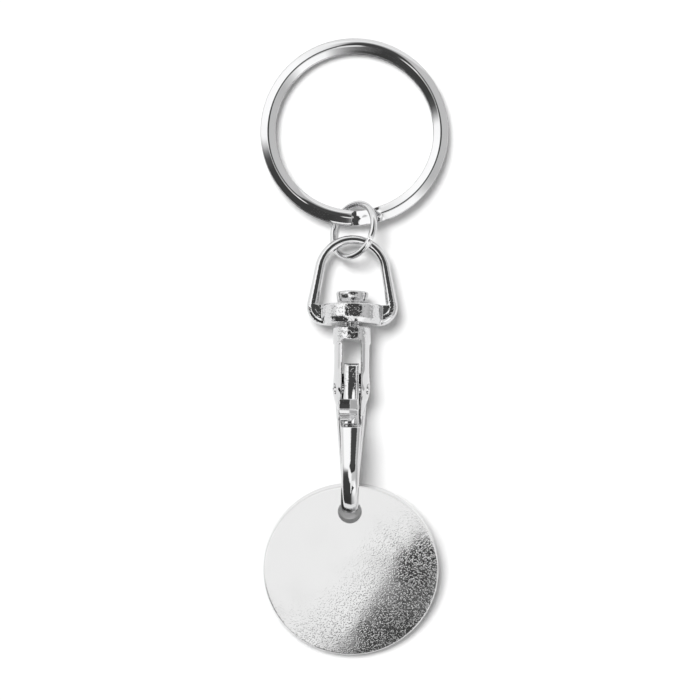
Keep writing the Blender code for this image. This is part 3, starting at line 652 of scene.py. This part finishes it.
def spine_path():
    """The bar from inside the cheeks down to the bend, on a curve that bulges to the back."""
    start, low = Vector((0, -SPINE_TOP_DROP, -SPINE_TOP_DEPTH)), Vector((0, -BEND_DROP, -BEND_RADIUS))
    third = (BEND_DROP - SPINE_TOP_DROP) / 3
    pulls = (start, Vector((0, start.y - third, start.z + (low.z - start.z) / 3 - SPINE_BULGE)))
    pulls += (low + Vector((0, third, 0)), low)
    places, steps = [], 24
    for i in range(steps):
        t = i / steps
        blend = ((1 - t) ** 3, 3 * t * (1 - t) ** 2, 3 * t * t * (1 - t), t**3)
        slope = (-3 * (1 - t) ** 2, 3 * (1 - t) * (1 - 3 * t), 3 * t * (2 - 3 * t), 3 * t * t)
        middle = sum((pull * share for pull, share in zip(pulls, blend)), Vector())
        run = sum((pull * share for pull, share in zip(pulls, slope)), Vector()).normalized()
        width = SPINE_WIDTH + (BEND_WIDTH - SPINE_WIDTH) * t
        thickness = SPINE_THICKNESS + (BEND_THICKNESS - SPINE_THICKNESS) * smooth_share(t)
        places.append((middle, Vector((1, 0, 0)), Vector((0, -run.z, run.y)), width, thickness))
    return places


def bend_path():
    """The bar round the bend and up the nose, turned a little about itself."""
    tip, steps = BEND_DROP + BEND_RADIUS, 60
    rise = (BEND_RADIUS - NOSE_TOP_DEPTH) / (tip - BEND_FRONT_REACH - NOSE_TOP_DROP)
    sweep = math.pi + math.atan(rise * BEND_FRONT_REACH / BEND_RADIUS)
    places = []
    for i in range(steps + 1):
        a = sweep * i / steps
        reach = BEND_RADIUS if a < math.pi / 2 else BEND_FRONT_REACH
        middle = Vector((0, reach - tip - reach * math.sin(a), -BEND_RADIUS * math.cos(a)))
        out = Vector((0, -math.sin(a) / reach, -math.cos(a) / BEND_RADIUS)).normalized()
        roll = math.radians(NOSE_ROLL_DEG) * smooth_share(a * 2 / math.pi - 1)
        side = Vector((1, 0, 0)) * math.cos(roll) + out * math.sin(roll)
        out = out * math.cos(roll) - Vector((1, 0, 0)) * math.sin(roll)
        places.append((middle, side, out, BEND_WIDTH, BEND_THICKNESS))
    foot, side, out = places[-1][:3]
    nose_top, steps = Vector((0, -NOSE_TOP_DROP, NOSE_TOP_DEPTH)), 12
    for i in range(1, steps + 1):
        share = i / steps
        width = BEND_WIDTH + (NOSE_WIDTH - BEND_WIDTH) * share
        thickness = BEND_THICKNESS + (NOSE_THICKNESS - BEND_THICKNESS) * share
        places.append((foot.lerp(nose_top, share), side, out, width, thickness))
    return places


def cheek_reach(drop):
    """How far the cheeks reach to the side, front and back, at a place below the boss."""
    to_pin = smooth_share((drop - BOSS_START_DROP) / (PIN_DROP - BOSS_START_DROP))
    to_foot = smooth_share((drop - PIN_DROP) / (CHEEK_FOOT_DROP - PIN_DROP))
    reach = []
    for neck, boss, foot in (
        (CHEEK_HALF, BOSS_HALF, CHEEK_FOOT_HALF),
        (CHEEK_HALF, BOSS_FRONT, -SPINE_TOP_DEPTH),
        (CHEEK_HALF, CHEEK_BACK, SPINE_TOP_DEPTH + SPINE_THICKNESS / 2),
    ):
        full = neck + (boss - neck) * to_pin
        reach.append(full + (foot - full) * to_foot)
    return reach


def cheek_sections():
    """Rounded sections of the forked cheeks, from inside the collar down into the spine."""
    rings, steps, sides = [], 60, 64
    top = SWIVEL_PLAY + COLLAR_HEIGHT / 2
    for i in range(steps + 1):
        drop = top + (CHEEK_FOOT_DROP - top) * i / steps
        half, front, back = cheek_reach(drop)
        ring = []
        for j in range(sides):
            a = math.tau * (j + 0.5) / sides
            side, rise = squarer(math.cos(a), CHEEK_SQUARENESS), squarer(math.sin(a), CHEEK_SQUARENESS)
            ring.append(Vector((side * half, -drop, (front - back) / 2 + rise * (front + back) / 2)))
        rings.append(ring)
    return rings


def slot_sections():
    """The front of the slot between the cheeks, flared so that the cheeks' inner edges are round."""
    rings, steps, half = [], 30, SLOT_WIDTH / 2
    for i in range(steps + 1):
        drop = SLOT_REACH + (SLOT_LOW - SLOT_REACH) * i / steps
        _, front, back = cheek_reach(drop)
        top = (front - back) / 2 + SLOT_FRONT_SHARE * (front + back) / 2
        right = [(half, top - SLOT_FRONT_DEPTH), (half, top - SLOT_EDGE)]
        for a in (math.radians(degrees) for degrees in SLOT_EDGE_DEGS):
            across, along = SLOT_EDGE * math.cos(a), SLOT_EDGE * math.sin(a)
            right.append((half + SLOT_EDGE - across, top - SLOT_EDGE + along))
        right.append((half + SLOT_EDGE, top + SLOT_FLARE_RISE))
        rings.append([Vector((x, -drop, z)) for x, z in right + [(-x, z) for x, z in reversed(right)]])
    return rings


def pin_bore():
    """The cut for the pin's bore, about the pin's middle."""
    return turned(((PIN_BORE, -PIN_REACH), (PIN_BORE, PIN_REACH)), SMALL_ROUND_STEPS, ALONG_X)


def hook_body():
    """Collar, cheeks, spine, bend and nose as one casting, slotted for the gate."""
    made = mesh_object("hook_casting", loft(swept(spine_path() + bend_path(), HOOK_SHARES)), SWIVEL)
    combine(made, loft(cheek_sections()), SWIVEL, "UNION")
    collar = rounded_profile(COLLAR_RADIUS, -SWIVEL_PLAY - COLLAR_HEIGHT, -SWIVEL_PLAY, COLLAR_EDGE)
    combine(made, turned(collar), SWIVEL, "UNION")
    slot = (
        (-SLOT_TOP, SLOT_REACH), (-SLOT_LOW, SLOT_REACH), (-SLOT_LOW, SPINE_THICKNESS / 4 - SPINE_TOP_DEPTH),
        (-PIN_DROP, -WEB_DEPTH), (-WEB_TOP, -WEB_DEPTH), (-WEB_TOP, -SLOT_REACH), (-SLOT_TOP, -SLOT_REACH),
    )
    combine(made, extruded(slot, SLOT_WIDTH), SWIVEL, "DIFFERENCE")
    combine(made, loft(slot_sections()), SWIVEL, "DIFFERENCE")
    bore = ((STUD_BORE, -STUD_BORE_DEPTH), (STUD_BORE, OVERRUN))
    combine(made, turned(bore, SMALL_ROUND_STEPS), SWIVEL, "DIFFERENCE")
    combine(made, pin_bore(), PIN, "DIFFERENCE")
    cast_skin(made, *CASTING_SKIN)
    place_piece(made, "hook_body", "hook", hook_chrome)


def gate_side():
    """The gate from the side, as (along, depth) pairs from the pin's middle."""
    along, depth = GATE_TAIL_MIDDLE
    side = list(GATE_FRONT)
    for a in (math.radians(10 * i) for i in range(19)):
        side.append((along + GATE_TAIL_RADIUS * math.sin(a), depth + GATE_TAIL_RADIUS * math.cos(a)))
    for a in (math.radians(150 + 10 * i) for i in range(11)):
        side.append((GATE_BARREL * math.sin(a), GATE_BARREL * math.cos(a)))
    side.append((GATE_TONGUE + GATE_TONGUE_EDGE, GATE_TONGUE_FRONT - GATE_TONGUE_THICKNESS))
    side.append((GATE_TONGUE, GATE_TONGUE_FRONT - GATE_TONGUE_EDGE))
    side.append((GATE_TONGUE, GATE_TONGUE_FRONT))
    side.append((GATE_FRONT[0][0], GATE_TONGUE_FRONT))
    return side


def gate_sections():
    """The gate's side repeated over its width, with its front lifted into a bevel and a rib."""
    side = gate_side()
    falls = []
    for i in range(len(side)):
        before, after = side[i - 1], side[(i + 1) % len(side)]
        falls.append(max(0.0, Vector((after[0] - before[0], after[1] - before[1])).normalized().x))
    rings = []
    for x, lift in GATE_ACROSS:
        rib = min(max(x - RIB_START, 0.0), RIB_WIDTH) * RIB_SLOPE
        rings.append([
            Vector((x, y, z + (lift + rib * smooth_share((RIB_TOP - y) / RIB_RUN)) * share))
            for (y, z), share in zip(side, falls)
        ])
    return rings


def knob_sections():
    """The thumb knob's side repeated over its width, higher on the left."""
    rings = []
    for across, root, lift in KNOB_ACROSS_SHARES:
        x, low = across * KNOB_HALF, KNOB_ROOT + KNOB_RISE * root
        ring = [
            Vector((x, KNOB_TOP - KNOB_LENGTH * along, KNOB_ROOT + KNOB_RISE * rise * lift))
            for along, rise in KNOB_SIDE_SHARES
        ]
        ring += [Vector((x, KNOB_TOP - KNOB_LENGTH, low)), Vector((x, KNOB_TOP, low))]
        rings.append(ring)
    return rings


def gate_lever():
    """The lever on the pin, hollowed from behind for its spring, with the thumb knob."""
    made = mesh_object("gate_casting", loft(gate_sections()), PIN)
    combine(made, loft(knob_sections()), PIN, "UNION")
    pocket = [(POCKET_RADIUS, POCKET_DEPTH)] + arc((0, 0), POCKET_RADIUS, 0, 90, 12)
    pocket += [(POCKET_END, POCKET_RADIUS), (POCKET_END, POCKET_DEPTH)]
    combine(made, extruded(pocket, POCKET_WIDTH), PIN, "DIFFERENCE")
    combine(made, pin_bore(), PIN, "DIFFERENCE")
    cast_skin(made, *GATE_SKIN)
    place_piece(made, "gate_lever", "gate", gate_chrome)


def coin_token():
    """The blank token, hung on the bend by its hole."""
    points, faces = turned(TOKEN_PROFILE, TOKEN_STEPS, UPRIGHT)
    points = [point + Vector((0, -TOKEN_HANG, 0)) for point in points]
    made = mesh_object("token_blank", (points, faces), TOKEN)
    combine(made, turned(HOLE_PROFILE, ROUND_STEPS, UPRIGHT), TOKEN, "DIFFERENCE")
    made.data.shade_smooth()
    made.data.set_sharp_from_angle(angle=math.radians(35))
    place_piece(made, "coin_token", "token", blank)


def gate_spring():
    """The torsion spring round the pin, with one leg on the web and one on the gate's back."""
    width = SPRING_TURNS * SPRING_PITCH
    leg_steps, steps, web_steps = SPRING_STEPS
    points = []
    for i in range(leg_steps):
        points.append(Vector((-width / 2, -SPRING_LEG * (1 - i / leg_steps), SPRING_RADIUS)))
    for i in range(steps + 1):
        a = math.tau * SPRING_TURNS * i / steps
        along, depth = SPRING_RADIUS * math.sin(a), SPRING_RADIUS * math.cos(a)
        points.append(Vector((width * (i / steps - 0.5), along, depth)))
    for i in range(1, web_steps + 1):
        points.append(Vector((width / 2, SPRING_RADIUS, -SPRING_WEB * i / web_steps)))
    path = []
    for i, point in enumerate(points):
        before, after = points[max(i - 1, 0)], points[min(i + 1, len(points) - 1)]
        run = (after - before).normalized()
        across = Vector((1, 0, 0))
        across = (across - run * across.dot(run)).normalized()
        path.append((point, across, run.cross(across), SPRING_WIRE, SPRING_WIRE))
    made = mesh_object("spring_wire", loft(swept(path, round_section(12))), PIN, smooth_angle=50)
    paint(made, steel)
    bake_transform(made)
    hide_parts("gate_spring")


split_ring()
link_ring()
swivel_bow()
swivel_rivet()
hook_body()
gate_lever()
coin_token()
gate_spring()
paint(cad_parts["gate_pin"], polished)


def flat_object(name, corners, height):
    """One flat face at a height."""
    mesh = bpy.data.meshes.new(name)
    mesh.from_pydata([(x * MM, y * MM, height * MM) for x, y in corners], [], [(0, 1, 2, 3)])
    made = bpy.data.objects.new(name, mesh)
    bpy.context.scene.collection.objects.link(made)
    return made


def make_floor():
    """A plain white floor, which keeps the object's shadow."""
    corners = [(x * FLOOR_HALF, y * FLOOR_HALF) for x, y in ((-1, -1), (1, -1), (1, 1), (-1, 1))]
    floor = flat_object("floor", corners, -FLOOR_DROP)
    material = bpy.data.materials.new("floor_white")
    nodes = new_nodes(material)
    shader = nodes.add("ShaderNodeBsdfDiffuse", {"Color": FLOOR_COLOUR})
    nodes.add("ShaderNodeOutputMaterial", {"Surface": shader.outputs[0]})
    paint(floor, material)


def make_card(name, corners, height, level):
    """A card held over the token, which only the metal sees."""
    card = flat_object(name, corners, height)
    material = bpy.data.materials.new(name)
    nodes = new_nodes(material)
    glow = nodes.add("ShaderNodeEmission", {"Color": (1.0, 1.0, 1.0, 1.0), "Strength": level})
    nodes.add("ShaderNodeOutputMaterial", {"Surface": glow.outputs[0]})
    paint(card, material)
    card.visible_camera = card.visible_diffuse = card.visible_shadow = card.visible_transmission = False


def angle_range(nodes, angle, degrees, to_low=0.0, to_high=1.0):
    """A share that changes between two angles in degrees."""
    low, high = (math.radians(limit) for limit in degrees)
    return nodes.range(angle, low, high, to_low, to_high)


def studio_level(nodes):
    """How bright the studio is each way: bright to the left and behind, grey to the right, and dark in
    patches overhead and towards the front left."""
    way = nodes.add("ShaderNodeTexCoord").outputs["Generated"]
    x, y, z = nodes.add("ShaderNodeSeparateXYZ", {0: way}).outputs
    around = nodes.math("ADD", nodes.math("DIVIDE", nodes.math("ARCTAN2", y, x), math.tau), 0.5)
    ramp = nodes.add("ShaderNodeValToRGB", {"Fac": around})
    stops = ramp.color_ramp.elements
    stops.remove(stops[1])
    for i, (degrees, level) in enumerate(STUDIO):
        stop = stops[0] if i == 0 else stops.new((degrees + 180) / 360)
        stop.position = (degrees + 180) / 360
        stop.color = (*[level / STUDIO_TOP] * 3, 1.0)
    outer = nodes.add("ShaderNodeSeparateColor", {0: ramp.outputs[0]}).outputs[0]
    outer = nodes.math("MULTIPLY", outer, STUDIO_TOP)
    inner = nodes.range(x, *OVERHEAD_TURN, *OVERHEAD)
    slant = nodes.math("ARCCOSINE", z)
    level = nodes.mix(angle_range(nodes, slant, OVERHEAD_DEG), inner, outer)
    level = nodes.mix(angle_range(nodes, nodes.math("ARCTAN2", y, z), BACK_DEG), level, BACK_LEVEL)
    for middle, reach, soft, dark in PATCHES:
        spread = []
        for axis, degrees, width in zip((x, y), middle, reach):
            turn = nodes.math("SUBTRACT", nodes.math("ARCTAN2", axis, z), math.radians(degrees))
            spread.append(nodes.math("POWER", nodes.math("DIVIDE", turn, math.radians(width)), 2.0))
        patch = nodes.range(nodes.math("ADD", *spread), *soft)
        patch = nodes.math("MULTIPLY", patch, nodes.math("GREATER_THAN", z, 0.0))
        level = nodes.mix(patch, level, dark)
    return nodes.math("MULTIPLY", level, angle_range(nodes, slant, LOW_DEG, 1.0, LOW_SHARE))


def make_world():
    """White to the camera, a studio to the metal, and plain light to the floor."""
    world = bpy.data.worlds.new("studio")
    bpy.context.scene.world = world
    nodes = new_nodes(world)
    level = studio_level(nodes)
    path = nodes.add("ShaderNodeLightPath")
    glossy = nodes.math("MAXIMUM", path.outputs["Is Glossy Ray"], path.outputs["Is Transmission Ray"])
    strength = nodes.mix(glossy, AMBIENT, level)
    strength = nodes.mix(path.outputs["Is Camera Ray"], strength, 1.0)
    background = nodes.add("ShaderNodeBackground", {"Color": (1.0, 1.0, 1.0, 1.0), "Strength": strength})
    nodes.add("ShaderNodeOutputWorld", {"Surface": background.outputs[0]})


def make_lamp(name, way, spread, power):
    """A soft lamp so far off that it lights the floor evenly, shining along a way."""
    light = bpy.data.lights.new(name, "SUN")
    light.angle = math.radians(spread)
    light.energy = power
    holder = bpy.data.objects.new(name, light)
    holder.rotation_mode = "QUATERNION"
    holder.rotation_quaternion = Vector(way).to_track_quat("-Z", "Y")
    holder.visible_glossy = False
    bpy.context.scene.collection.objects.link(holder)


def make_camera():
    """The camera, straight above and as far off as the photograph's frame asks."""
    camera = bpy.data.cameras.new("camera")
    camera.lens = LENS
    camera.sensor_width = SENSOR
    camera.clip_start = 10 * MM
    camera.clip_end = 10.0
    holder = bpy.data.objects.new("camera", camera)
    holder.location = (PICTURE_MIDDLE + Vector((0, 0, PICTURE_WIDTH * LENS / SENSOR))) * MM
    bpy.context.scene.collection.objects.link(holder)
    bpy.context.scene.camera = holder


make_floor()
make_world()
make_card("dark_card", DARK_CARD, DARK_CARD_HEIGHT, DARK_CARD_LEVEL)
make_card("pale_card", PALE_CARD, PALE_CARD_HEIGHT, PALE_CARD_LEVEL)
make_lamp("key", LAMP_WAY, LAMP_SPREAD_DEG, LAMP_POWER)
make_camera()
bpy.context.scene.view_settings.view_transform = "Standard"
